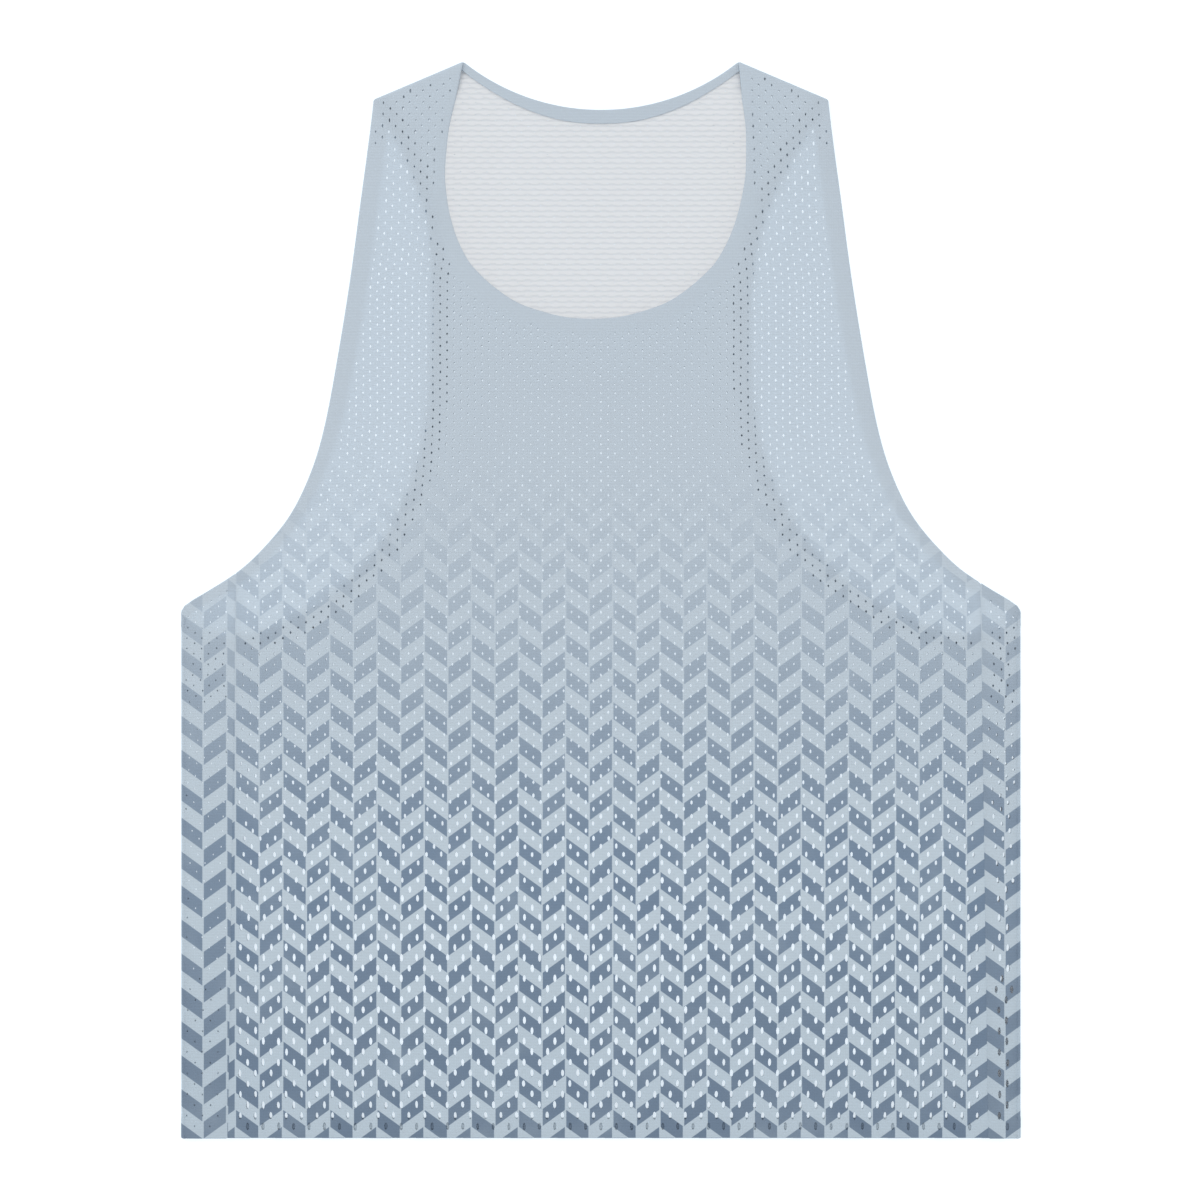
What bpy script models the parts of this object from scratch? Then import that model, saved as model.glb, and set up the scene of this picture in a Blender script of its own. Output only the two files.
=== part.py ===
"""A running singlet laid flat with its front up, each cut piece a closed wall of cloth.

The back lies face down on the surface. It wraps forward round both side folds and meets the front
at the side seams. The front lies on it, and comes down to the surface beside the racer-cut back.
Bands finish the neck, the armholes and the hem on the cloth's inner side.
+Z is up, +Y points to the shoulders, +X is the wearer's left, and the origin is under the middle.
"""

import math
from collections import namedtuple
from functools import lru_cache

import bmesh
import bpy
from mathutils import Vector
from mathutils.geometry import delaunay_2d_cdt, intersect_line_line_2d

# Driving dimensions, in metres. A level is a distance up the garment from its middle.
LENGTH = 0.6854
HEM_LEVEL = -LENGTH / 2
HALF_WIDTH = 0.2672
NECK_POINT = Vector((0.0876, LENGTH / 2))
SHOULDER_TIP = Vector((0.1446, 0.3185))
BACK_NECK_DIP = 0.0306
SEAM_HALF_WIDTH_TOP = 0.2370
SEAM_HALF_WIDTH_HEM = 0.2418
FRONT_HEM_RISE = 0.0006

# As laid, the seams sit a little to +X of the middle, and the neck scoop and racer cut to -X.
SEAM_SHIFT = 0.0045
NECK_SHIFT = -0.0057
RACER_SHIFT = -0.0050

# Cloth and stacking: back, its bands, the bands of the front, and the front.
WALL = 0.0010
GAP = 0.0003
CORE_GAP = 0.0004
LAYER = WALL + GAP
STACK = 4 * WALL + 2 * GAP + CORE_GAP
FLOOR_STACK = LAYER + WALL
FOLD_RADIUS = STACK / 2
FOLD_START = HALF_WIDTH - FOLD_RADIUS
FOLD_LENGTH = math.pi * FOLD_RADIUS

# Widths of the bands on the inner side.
NECK_BAND = 0.0095
ARMHOLE_BAND = 0.0110
HEM_BAND = 0.0127
SHOULDER_ALLOWANCE = 0.0065

# Between these distances beside the back, the front bridges down to the surface.
BRIDGE_START = 0.008
BRIDGE_END = 0.040

# Between these distances in from every edge, the upper layer sags towards the back.
SAG_START = 0.020
SAG_END = 0.085
SAG_DEPTH = 0.0021

# Mesh density.
EDGE_STEP = 0.011
LATTICE_STEP = 0.021
LATTICE_MARGIN = 0.0075
FOLD_FACETS = 6

Edge = namedtuple("Edge", "half_width level")

# Front armhole edge, from the side fold up to the shoulder tip.
FRONT_ARMHOLE = (
    Edge(FOLD_START, -0.0036),
    Edge(0.2596, 0.0000),
    Edge(0.2389, 0.0127),
    Edge(0.2223, 0.0255),
    Edge(0.2000, 0.0510),
    Edge(0.1854, 0.0796),
    Edge(0.1758, 0.1115),
    Edge(0.1669, 0.1593),
    Edge(0.1593, 0.2070),
    Edge(0.1529, 0.2548),
    Edge(0.1468, 0.2990),
    Edge(0.1446, 0.3185),
)

# Back armhole edge, from the side fold along the underarm and up the racer cut to the shoulder tip.
BACK_ARMHOLE = (
    Edge(FOLD_START, -0.0107),
    Edge(0.2540, -0.0175),
    Edge(0.2400, -0.0215),
    Edge(0.2198, -0.0204),
    Edge(0.1975, -0.0127),
    Edge(0.1720, 0.0032),
    Edge(0.1497, 0.0255),
    Edge(0.1344, 0.0478),
    Edge(0.1204, 0.0796),
    Edge(0.1099, 0.1210),
    Edge(0.1052, 0.1784),
    Edge(0.1056, 0.2000),
    Edge(0.1077, 0.2230),
    Edge(0.1120, 0.2440),
    Edge(0.1212, 0.2707),
    Edge(0.1328, 0.2962),
    Edge(0.1446, 0.3185),
)

# Front neck edge, from the bottom of the scoop up to the neck point.
FRONT_NECK = (
    Edge(0.0000, 0.1790),
    Edge(0.0169, 0.1802),
    Edge(0.0347, 0.1847),
    Edge(0.0505, 0.1911),
    Edge(0.0675, 0.2038),
    Edge(0.0793, 0.2166),
    Edge(0.0860, 0.2293),
    Edge(0.0905, 0.2421),
    Edge(0.0952, 0.2675),
    Edge(0.0943, 0.2994),
    Edge(0.0911, 0.3185),
    Edge(0.0876, 0.3427),
)

Fold = namedtuple("Fold", "x level turn half_length half_width height")

# Soft folds of the upper layer. Each turn is in degrees from +X, and a trough's height is negative.
SOFT_FOLDS = (
    Fold(-0.110, -0.130, 78, 0.110, 0.030, 0.0007),
    Fold(0.070, -0.190, 96, 0.090, 0.034, 0.0006),
    Fold(-0.020, -0.070, 12, 0.120, 0.032, -0.0005),
    Fold(0.140, -0.060, 60, 0.080, 0.028, 0.0006),
    Fold(-0.060, 0.060, 150, 0.070, 0.030, 0.0005),
    Fold(0.020, 0.110, 20, 0.060, 0.026, -0.0004),
)

FRONT_COLOUR = (0.47, 0.57, 0.67, 1.0)
BACK_COLOUR = (0.71, 0.74, 0.80, 1.0)
BAND_COLOUR = (0.38, 0.50, 0.63, 1.0)
CLOTH_ROUGHNESS = 0.75
SHARP_ANGLE = math.radians(40)

Piece = namedtuple("Piece", "outline lines bands allowances")


def smooth_step(value, low, high):
    """0 below low, 1 above high, with an even slope between."""
    t = min(max((value - low) / (high - low), 0.0), 1.0)
    return t * t * (3.0 - 2.0 * t)


def divide(start, end, step=EDGE_STEP):
    """Evenly spaced points along a straight line, both ends included."""
    count = max(1, round((end - start).length / step))
    return [start.lerp(end, i / count) for i in range(count + 1)]


def flow(rows):
    """Points about one step apart along a smooth curve through a table's rows."""
    knots = [Vector(row) for row in rows]
    knots = [2 * knots[0] - knots[1], *knots, 2 * knots[-1] - knots[-2]]
    curve = [knots[1].copy()]
    for before, start, end, after in zip(knots, knots[1:], knots[2:], knots[3:]):
        count = max(1, round((end - start).length / EDGE_STEP))
        lean = end - before
        bend = 2 * before - 5 * start + 4 * end - after
        curl = 3 * start - before - 3 * end + after
        for i in range(1, count + 1):
            t = i / count
            curve.append(start + (lean * t + bend * t * t + curl * t**3) / 2)
    return curve


def joined(*runs):
    """One run of points from several, with a shared end kept once."""
    line = list(runs[0])
    for run in runs[1:]:
        meets = (run[0] - line[-1]).length < GAP / 10
        line += run[1:] if meets else run
    return line


def inset(run, width, start_along, end_along):
    """The run moved to its left by the width. Each end slides along the piece's own edge there."""
    moved = []
    for i in range(1, len(run) - 1):
        along = (run[i + 1] - run[i - 1]).normalized()
        moved.append(run[i] + Vector((-along.y, along.x)) * width)
    first = (run[1] - run[0]).normalized()
    last = (run[-1] - run[-2]).normalized()
    start = run[0] + start_along * (width / abs(first.cross(start_along)))
    end = run[-1] + end_along * (width / abs(last.cross(end_along)))
    return [start, *moved, end]


def segments(loop):
    """The closed loop's edges, each as its two ends."""
    return zip(loop, loop[1:] + loop[:1])


def line_distance(point, edges):
    """Distance from a point to the nearest of these straight edges."""
    nearest = math.inf
    for a, b in edges:
        along = b - a
        t = min(max((point - a).dot(along) / along.length_squared, 0.0), 1.0)
        nearest = min(nearest, (a + along * t - point).length)
    return nearest


def inside(point, loop):
    """Whether a point lies in a closed loop."""
    found = False
    for a, b in segments(loop):
        if (a.y > point.y) != (b.y > point.y):
            if point.x < a.x + (point.y - a.y) / (b.y - a.y) * (b.x - a.x):
                found = not found
    return found


def edge_distance(point, loop):
    """Distance from a point to a closed loop, positive inside it."""
    nearest = line_distance(point, segments(loop))
    return nearest if inside(point, loop) else -nearest


def shoulder(side):
    """The shoulder line's two ends and its direction, from the tip up to the neck point."""
    tip = Vector((side * SHOULDER_TIP.x, SHOULDER_TIP.y))
    neck = Vector((side * NECK_POINT.x, NECK_POINT.y))
    return tip, neck, (neck - tip).normalized()


def seam_x(level, side):
    """Where a side seam lies on the upper layer, at this level."""
    share = (level - HEM_LEVEL) / (LENGTH / 2)
    half = SEAM_HALF_WIDTH_HEM + (SEAM_HALF_WIDTH_TOP - SEAM_HALF_WIDTH_HEM) * share
    return side * half + SEAM_SHIFT


def front_edge(side):
    """The whole armhole edge of the upper layer, from the side fold up to the shoulder tip."""
    return [Vector((side * p.x, p.y)) for p in flow(FRONT_ARMHOLE)]


def racer_edge(side):
    """The armhole edge of the lower layer, from the side fold up to the shoulder tip."""
    run = [Vector((side * p.x, p.y)) for p in flow(BACK_ARMHOLE)]
    low, high = BACK_ARMHOLE[0].level, BACK_ARMHOLE[-1].level
    for point in run:
        share = min(max((point.y - low) / (high - low), 0.0), 1.0)
        point.x += RACER_SHIFT * math.sin(share * math.pi) ** 2
    return run


def front_neck():
    """The front neck edge, from the left neck point down round the scoop to the right one."""
    left = flow(FRONT_NECK)
    run = joined(left[::-1], [Vector((-p.x, p.y)) for p in left])
    low, high = FRONT_NECK[0].level, FRONT_NECK[-1].level
    for point in run:
        point.x += NECK_SHIFT * math.sin((high - point.y) / (high - low) * math.pi / 2)
    return run


def back_neck():
    """The back neck edge, one shallow arc from the left neck point to the right one."""
    half = NECK_POINT.x
    radius = (half * half + BACK_NECK_DIP * BACK_NECK_DIP) / (2 * BACK_NECK_DIP)
    spread = math.asin(half / radius)
    count = 2 * round(spread * radius / EDGE_STEP)
    middle = NECK_POINT.y - BACK_NECK_DIP + radius
    angles = [spread * (1 - 2 * i / count) for i in range(count + 1)]
    return [Vector((radius * math.sin(a), middle - radius * math.cos(a))) for a in angles]


def split_at_seam(run, side, shift):
    """The run in two where it crosses the side seam: the stretch beside the fold, and the rest."""
    for i, (a, b) in enumerate(zip(run, run[1:])):
        seam = seam_x(b.y, side) + side * shift
        if side * b.x < side * seam:
            crossing = a.lerp(b, (seam - a.x) / (b.x - a.x))
            return [*run[: i + 1], crossing], [crossing, *run[i + 1 :]]
    raise ValueError("the armhole edge doesn't reach the side seam")


def unfolded(point, side):
    """A point of the upper layer, moved to where it lies on the back before the fold is made."""
    return Vector((side * (2 * FOLD_START + FOLD_LENGTH) - point.x, point.y))


def front_armhole(side):
    """The front's armhole edge, from the side seam up to the shoulder tip."""
    return split_at_seam(front_edge(side), side, -GAP / 2)[1]


def back_armhole(side):
    """The back's armhole edge, unfolded: from the side seam, over the fold, up to the shoulder tip."""
    strip = split_at_seam(front_edge(side), side, GAP / 2)[0]
    upper = [unfolded(p, side) for p in reversed(strip)]
    lower = racer_edge(side)
    over = [upper[-1].lerp(lower[0], i / FOLD_FACETS) for i in range(FOLD_FACETS + 1)]
    return joined(upper, over, lower)


def first_crossing(line, start, end):
    """Where a line of points first crosses the straight edge between start and end."""
    for a, b in zip(line, line[1:]):
        found = intersect_line_line_2d(a, b, start, end)
        if found:
            return found
    raise ValueError("the line doesn't cross the edge")


def shoulder_allowance(side, armhole_line, neck_line):
    """The allowance's outline, a gap clear of the two band lines, which start on the shoulder line."""
    tip, neck, along = shoulder(side)
    across = Vector((-along.y, along.x)) * side * SHOULDER_ALLOWANCE
    inner_start, inner_end = (
        first_crossing(line, tip + across, neck + across) for line in (armhole_line, neck_line)
    )
    clear = along * GAP
    outer = divide(armhole_line[0] + clear, neck_line[0] - clear)
    inner = divide(inner_start + clear, inner_end - clear)
    return [*outer, *reversed(inner)]


def cut(armholes, hem_corners, neck, columns=()):
    """A flat cut piece with its bands. Armhole edges and hem corners are given for sides 1 and -1."""
    hem_level = hem_corners[1].y
    stops = sorted([hem_corners[1].x, hem_corners[-1].x, *columns, *(-x for x in columns)])
    hem_corner_row = [Vector((x, hem_level)) for x in stops]
    hem = joined(*(divide(a, b) for a, b in zip(hem_corner_row, hem_corner_row[1:])))
    neck_line = inset(neck, NECK_BAND, -shoulder(1)[2], -shoulder(-1)[2])
    bands = {"neck_band": [*neck, *reversed(neck_line)]}
    allowances = {}
    lines = [neck_line]
    side_edges = {}
    hem_line_ends = {}
    for side, name in ((1, "left"), (-1, "right")):
        armhole = armholes[side]
        down = (hem_corners[side] - armhole[0]).normalized()
        along = shoulder(side)[2]
        if side > 0:
            armhole_line = inset(armhole, ARMHOLE_BAND, down, along)
            from_neck = neck_line
        else:
            armhole_line = inset(armhole[::-1], ARMHOLE_BAND, along, down)[::-1]
            from_neck = neck_line[::-1]
        allowance = shoulder_allowance(side, armhole_line[::-1], from_neck)
        allowances[f"shoulder_allowance_{name}"] = allowance
        bands[f"armhole_band_{name}"] = [*armhole, *reversed(armhole_line)]
        lines.append(armhole_line)
        hem_line_ends[side] = hem_corners[side] - down * HEM_BAND
        seam = joined([hem_corners[side]], divide(hem_line_ends[side], armhole_line[0]))
        shoulder_run = divide(armhole_line[-1], from_neck[0])
        neck_end = neck[0] if side > 0 else neck[-1]
        side_edges[side] = joined(seam, armhole, shoulder_run, [neck_end])
        for column in columns:
            top = min(armhole, key=lambda p: abs(p.x - side * column))
            lines.append(divide(Vector((top.x, hem_level)), top, LATTICE_STEP))
    band_rise = Vector((0.0, HEM_BAND))
    hem_line = [hem_line_ends[-1], *(p + band_rise for p in hem[1:-1]), hem_line_ends[1]]
    bands["hem_band"] = [*hem, *reversed(hem_line)]
    lines.append(hem_line)
    outline = joined(hem, side_edges[1], neck, side_edges[-1][::-1])[:-1]
    return Piece(outline, lines, bands, allowances)


def cut_front():
    """The front, from side seam to side seam."""
    corners = {
        side: Vector((seam_x(HEM_LEVEL, side) - side * GAP / 2, HEM_LEVEL + FRONT_HEM_RISE))
        for side in (1, -1)
    }
    return cut({side: front_armhole(side) for side in (1, -1)}, corners, front_neck())


def cut_back():
    """The back, unfolded, with a line along each bend of its side folds."""
    corners = {
        side: unfolded(Vector((seam_x(HEM_LEVEL, side) + side * GAP / 2, HEM_LEVEL)), side)
        for side in (1, -1)
    }
    columns = [FOLD_START + FOLD_LENGTH * i / FOLD_FACETS for i in range(FOLD_FACETS + 1)]
    return cut({side: back_armhole(side) for side in (1, -1)}, corners, back_neck(), columns)


def lattice(piece):
    """Points spread evenly over a piece, clear of its outline and its lines."""
    edges = list(segments(piece.outline))
    for line in piece.lines:
        edges += zip(line, line[1:])
    row_step = LATTICE_STEP * math.sqrt(3) / 2
    rows = round(LENGTH / row_step)
    columns = round(max(p.x for p in piece.outline) / LATTICE_STEP) + 1
    points = []
    for row in range(rows + 1):
        for column in range(-columns, columns + 1):
            x = (column + row % 2 / 2) * LATTICE_STEP
            point = Vector((x, HEM_LEVEL + row * row_step))
            if inside(point, piece.outline) and line_distance(point, edges) > LATTICE_MARGIN:
                points.append(point)
    return points


def meshed(piece):
    """The piece's points, and triangles between them that keep to its outline and its lines."""
    points = list(piece.outline)
    outline_face = list(range(len(points)))
    edges = []
    for line in piece.lines:
        first = len(points)
        points += line
        edges += [(i, i + 1) for i in range(first, len(points) - 1)]
    points += lattice(piece)
    points, _, faces, *_ = delaunay_2d_cdt(points, edges, [outline_face], 1, 1e-6)
    return points, [tuple(face) for face in faces]


def layer_outline(edge, neck):
    """A laid layer's outline seen from above, from its armhole edge and its neck edge."""
    left, right = edge(1), edge(-1)
    foot = [Vector((-HALF_WIDTH, HEM_LEVEL)), Vector((HALF_WIDTH, HEM_LEVEL))]
    flanks = [Vector((HALF_WIDTH, left[0].y)), Vector((-HALF_WIDTH, right[0].y))]
    return [*foot, flanks[0], *left, *neck, *reversed(right), flanks[1]]


UPPER_LAYER = layer_outline(front_edge, front_neck())
LOWER_LAYER = layer_outline(racer_edge, back_neck())


def fold_height(x, level):
    """The soft folds' height at a point, before they fade out towards the edges."""
    height = 0.0
    for fold in SOFT_FOLDS:
        turn = math.radians(fold.turn)
        dx, dy = x - fold.x, level - fold.level
        along = (dx * math.cos(turn) + dy * math.sin(turn)) / fold.half_length
        across = (dy * math.cos(turn) - dx * math.sin(turn)) / fold.half_width
        height += fold.height * math.exp(-along * along - across * across)
    return height


@lru_cache(maxsize=None)
def upper_face(x, level):
    """Height of the upper layer's outer face above the surface."""
    point = Vector((x, level))
    in_upper = edge_distance(point, UPPER_LAYER)
    in_lower = edge_distance(point, LOWER_LAYER)
    bridge = smooth_step(in_lower, -BRIDGE_END, -BRIDGE_START)
    settled = smooth_step(min(in_upper, in_lower), SAG_START, SAG_END)
    sag = settled * (SAG_DEPTH - fold_height(x, level))
    return FLOOR_STACK + (STACK - FLOOR_STACK) * bridge - sag


def place_front(point, depth):
    """A point of the front, this deep in from its outer face."""
    return Vector((point.x, point.y, upper_face(point.x, point.y) - depth))


def place_back(point, depth):
    """A point of the unfolded back, folded round and laid, this deep in from its outer face."""
    side = math.copysign(1.0, point.x)
    past_fold = abs(point.x) - FOLD_START
    if past_fold <= 0:
        return Vector((point.x, point.y, depth))
    if past_fold < FOLD_LENGTH:
        turn = past_fold / FOLD_RADIUS
        radius = FOLD_RADIUS - depth
        x = FOLD_START + radius * math.sin(turn)
        return Vector((side * x, point.y, FOLD_RADIUS - radius * math.cos(turn)))
    x = side * (FOLD_START + FOLD_LENGTH - past_fold)
    return Vector((x, point.y, upper_face(x, point.y) - depth))


def cloth(name, colour):
    """A matt cloth material."""
    material = bpy.data.materials.new(name)
    material.use_nodes = True
    shader = material.node_tree.nodes["Principled BSDF"]
    shader.inputs["Base Color"].default_value = colour
    shader.inputs["Roughness"].default_value = CLOTH_ROUGHNESS
    shader.inputs["Metallic"].default_value = 0.0
    return material


def add_wall(name, points, faces, place, depth, colour, root):
    """One closed wall of cloth over these triangles, its outer side this deep under the piece's own."""
    mesh = bmesh.new()
    used = sorted({i for face in faces for i in face})
    outer = {i: mesh.verts.new(place(points[i], depth)) for i in used}
    inner = {i: mesh.verts.new(place(points[i], depth + WALL)) for i in used}
    rim = {edge for face in faces for edge in zip(face, face[1:] + face[:1])}
    for face in faces:
        mesh.faces.new([outer[i] for i in face])
        mesh.faces.new([inner[i] for i in reversed(face)])
    for a, b in rim:
        if (b, a) not in rim:
            mesh.faces.new((outer[b], outer[a], inner[a], inner[b]))
    if mesh.calc_volume(signed=True) < 0:
        bmesh.ops.reverse_faces(mesh, faces=mesh.faces)
    data = bpy.data.meshes.new(name)
    mesh.to_mesh(data)
    mesh.free()
    data.shade_smooth()
    data.set_sharp_from_angle(angle=SHARP_ANGLE)
    data.materials.append(cloth(name, colour))
    wall = bpy.data.objects.new(name, data)
    wall.parent = root
    bpy.context.scene.collection.objects.link(wall)


def add_piece(name, piece, place, colour, root):
    """A panel, and each of its bands made from the panel's own triangles, moved to its inner side."""
    points, faces = meshed(piece)
    add_wall(f"{name}_panel", points, faces, place, 0.0, colour, root)
    for band, loop in piece.bands.items():
        middles = ((face, sum((points[i] for i in face), Vector((0, 0))) / 3) for face in faces)
        on_band = [face for face, middle in middles if inside(middle, loop)]
        add_wall(f"{name}_{band}", points, on_band, place, LAYER, BAND_COLOUR, root)
    for allowance, loop in piece.allowances.items():
        points, faces = meshed(Piece(loop, [], {}, {}))
        add_wall(f"{name}_{allowance}", points, faces, place, LAYER, BAND_COLOUR, root)


def build():
    """Clear the scene and lay out the garment."""
    for old in list(bpy.data.objects):
        bpy.data.objects.remove(old, do_unlink=True)
    root = bpy.data.objects.new("singlet", None)
    bpy.context.scene.collection.objects.link(root)
    add_piece("front", cut_front(), place_front, FRONT_COLOUR, root)
    add_piece("back", cut_back(), place_back, BACK_COLOUR, root)


build()
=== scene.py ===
"""Looks of a running singlet laid flat with its front up: perforated knit, turned bands, print.

Every piece of cloth is a thin closed shell on its CAD wall's outer face. A panel is meshed flat,
with its holes cut, and then laid: the front on the back, the back folded forward round both sides.
A plan point is (across, level) of the flat piece, and a depth is measured in from its outer face.
Lengths are in metres, and left and right are the wearer's. A pair of lengths that fades or ramps
is (where it starts, where it ends).
"""

import math
from collections import namedtuple

import bmesh
import bpy
import numpy as np
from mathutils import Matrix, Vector
from mathutils.bvhtree import BVHTree
from mathutils.geometry import delaunay_2d_cdt


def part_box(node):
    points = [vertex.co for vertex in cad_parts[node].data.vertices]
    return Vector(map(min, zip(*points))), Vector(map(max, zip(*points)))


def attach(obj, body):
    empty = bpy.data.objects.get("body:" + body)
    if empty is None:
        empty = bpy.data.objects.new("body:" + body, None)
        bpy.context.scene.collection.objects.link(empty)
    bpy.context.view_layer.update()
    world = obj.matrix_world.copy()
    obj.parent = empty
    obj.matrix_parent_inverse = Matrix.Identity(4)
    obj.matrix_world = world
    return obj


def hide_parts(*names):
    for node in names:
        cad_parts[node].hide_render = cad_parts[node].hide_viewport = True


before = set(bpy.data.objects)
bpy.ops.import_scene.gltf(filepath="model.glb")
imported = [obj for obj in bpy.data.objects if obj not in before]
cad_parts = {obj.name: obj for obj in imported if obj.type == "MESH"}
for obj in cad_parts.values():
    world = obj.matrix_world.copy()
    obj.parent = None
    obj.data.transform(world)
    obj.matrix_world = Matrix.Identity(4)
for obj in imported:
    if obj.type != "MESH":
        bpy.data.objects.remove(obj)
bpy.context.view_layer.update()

# The laid garment, from the frame.
FOLD_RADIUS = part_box("back_panel")[1].z / 2
FOLD_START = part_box("back_panel")[1].x - FOLD_RADIUS
FOLD_LENGTH = math.pi * FOLD_RADIUS
HEM_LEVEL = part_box("back_panel")[0].y
TOP_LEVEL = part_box("back_panel")[1].y

# Cloth. The back's inner side lies up to BACK_LOFT in from its outer face. That is between the two
# faces of its bands, and about 0.1 mm into the front, where nothing shows it. The loft fades in
# past the inner edges of the bands, the shoulder allowances and the side folds.
CLOTH = 0.0007
FRONT_CLOTH = 0.0005
BACK_LOFT = 0.00165
BAND_TOP = 0.00095
LOFT_BAND = (0.0004, 0.0030)
LOFT_NECK = (-0.0012, 0.0008)
LOFT_SHOULDER = (0.0070, 0.0110)
LOFT_FOLD = (0.004, 0.012)
LAYER = 0.0013

# Rolled edges. A hem's roll is half the height of the panel and its turned band together. At a
# side seam the edge is eased out, so that the two panels meet.
HEM_ROLL = 0.00115
SEAM_ROLL = 0.0006
SEAM_EASE = 0.00042
ROLL_EASE = 0.008
ROLL_STEPS = 4
FOLD_STEPS = 8

# Above the rest height the upper layer settles: it keeps a small share of the CAD walls' extra
# height where that is low, and all of it at the shoulders.
REST_HEIGHT = 0.0023
SETTLED = (0.0036, 0.0050)
SETTLED_SHARE = 0.15

# At the neck opening the front lies lower, and the back's inner side rises to meet its edge, up to
# 1.1 mm into the edge's roll and band. It rises by OPEN_LOFT all over the opening, and by EDGE_LOFT
# beside the front's edge.
NECK_SETTLE = 0.0008
SETTLE_FADE = (0.012, 0.060)
SETTLE_CLEAR = (0.010, 0.040)
OPEN_LOFT = 0.0003
EDGE_LOFT = 0.0015
EDGE_RISE = (-0.0014, -0.0004)
EDGE_FADE = (0.003, 0.040)
EDGE_CLEAR = (0.002, 0.020)

# Turned bands and allowances. The panel sinks a little past each band's inner edge. A band
# narrows to a share of its width towards the neck points and the underarms.
NECK_BAND = 0.0088
ARMHOLE_BAND = 0.0110
HEM_BAND = 0.0127
SHOULDER_ALLOWANCE = 0.0065
BAND_RELIEF = 0.00018
RELIEF_WIDTH = 0.0016
NECK_END_SHARE, NECK_TAPER = 0.55, (0.0, 0.080)
ARMHOLE_END_SHARE, ARMHOLE_TAPER = 0.60, (0.030, 0.170)
BAND_EASE = 0.025
BAND_STOP = 0.0010

# The back's racer cut lies further in than the CAD's. Each row has a level, from the underarm up,
# and how far in the cut lies there on the left and on the right.
RACER = (
    (-0.026, 0.0, 0.0),
    (0.000, 0.0050, 0.0),
    (0.032, 0.0083, 0.0022),
    (0.064, 0.0096, 0.0032),
    (0.096, 0.0088, 0.0041),
    (0.127, 0.0070, 0.0038),
    (0.159, 0.0058, 0.0029),
    (0.191, 0.0050, 0.0020),
    (0.255, 0.0045, 0.0025),
    (0.300, 0.0, 0.0),
)
RACER_END = (0.140, 0.220)
RACER_BLUR = 3

# Painted shade: the front's colour is darkened in a strip over the back's armhole bands, from the
# back's racer cut in, standing in for the light that the doubled cloth there keeps back.
PAINTED_SHADE_START = (-0.0025, 0.0005)
PAINTED_SHADE_END = (0.004, 0.013)
PAINTED_SHADE_DEPTH = 0.04
PAINTED_SHADE_ATTRIBUTE = "band_below"

# The staggered net of holes, from the hem up. The rows open out and the holes grow below the
# chest. Each row here has a level, the spacing across and up, and a hole's half sizes there.
NET = (
    (-0.345, 0.00977, 0.0068, 0.00102, 0.00242),
    (-0.220, 0.00977, 0.0066, 0.00102, 0.00238),
    (-0.172, 0.0097, 0.0056, 0.00095, 0.0019),
    (-0.134, 0.0096, 0.0045, 0.0008, 0.00148),
    (-0.089, 0.0095, 0.0036, 0.00068, 0.00118),
    (-0.057, 0.0095, 0.0034, 0.00062, 0.00104),
    (0.057, 0.0092, 0.0032, 0.00058, 0.00093),
    (0.086, 0.0090, 0.0029, 0.00057, 0.00091),
    (0.115, 0.0089, 0.0027, 0.00056, 0.00090),
    (0.200, 0.0089, 0.0027, 0.00056, 0.00094),
    (0.235, 0.0086, 0.0035, 0.00056, 0.00106),
    (0.345, 0.0083, 0.0038, 0.00056, 0.00112),
)
NET_LEVEL, NET_PITCH, NET_ROW, HALF_ACROSS, HALF_UP = zip(*NET)

# The panels' holes as shares of the net's, below and above BACK_HOLE_LEVEL, and smaller still
# on the back where the neck opening bares it.
BACK_HOLE_LEVEL = (0.040, 0.110)
FRONT_HOLE_SHARES = (1.0, 1.0)
BACK_HOLE_SHARES = (1.04, 0.88)
OPEN_SHARE, OPEN_LEVEL = 0.5, 0.150

# The strips of the back that wrap forward: the half size of the right one's holes, and how far
# the holes are slipped, as levels and shares of the pitch.
STRIP_HOLE = (0.00045, 0.00072)
STRIP_SLIP = ((-0.300, -0.255, -0.235, -0.066, -0.048, 0.0), (0.45, 0.40, 0.0, 0.0, 0.40, 0.50))

# A hole's number of sides by its half height, and how far its size and place vary.
HOLE_SIDES = ((0.00132, 4), (0.0021, 6), (1.0, 8))
HOLE_SPREAD = (0.10, 0.26)
HOLE_SHIFT = 0.00012
SEED = 7

# The holes keep clear of the edges and of the bands' inner edges. Above STRAP_LEVELS, and on the
# strips, they run over the bands. The back's keep clear of the front's neck edge too.
HOLE_MARGINS = {"hem": 0.0024, "shoulder": 0.0026, "seam": 0.0022}
BAND_MARGIN = 0.0004
EDGE_MARGIN = 0.0024
STRAP_LEVELS = {"neck": 0.262, "armhole": 0.288}
COVER_MARGIN = 0.0016

# Mesh density and merging. CORNER is the least turn at an outline's corner, and SHARP the least
# angle of a sharp edge. A corner is rounded from TIP away, and its point is cut by TIP_CUT.
EDGE_STEP = 0.0042
HEIGHT_STEP = 0.004
HEIGHT_BLUR = 0.009
HEIGHT_REACH = 3
LAST_CELL = 1.001
FACES_UP = 0.5
MERGE = 1e-6
CORNER = math.radians(33)
SHARP = math.radians(50)
TIP = 0.0013
TIP_CUT = 0.0004

# The runs of a panel's outline, anticlockwise from the hem.
RUN_NAMES = (
    "hem", "seam_left", "armhole_left", "shoulder_left",
    "neck", "shoulder_right", "armhole_right", "seam_right",
)
ARMHOLES = ("armhole_left", "armhole_right")
SHOULDERS = ("shoulder_left", "shoulder_right")
BAND_WIDTHS = {
    "neck": NECK_BAND,
    "armhole_left": ARMHOLE_BAND,
    "armhole_right": ARMHOLE_BAND,
    "hem": HEM_BAND,
}
ROLLS = {
    "hem": HEM_ROLL,
    "neck": HEM_ROLL,
    "armhole_left": HEM_ROLL,
    "armhole_right": HEM_ROLL,
    "seam_left": SEAM_ROLL,
    "seam_right": SEAM_ROLL,
    "shoulder_left": FOLD_RADIUS,
    "shoulder_right": FOLD_RADIUS,
}

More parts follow.
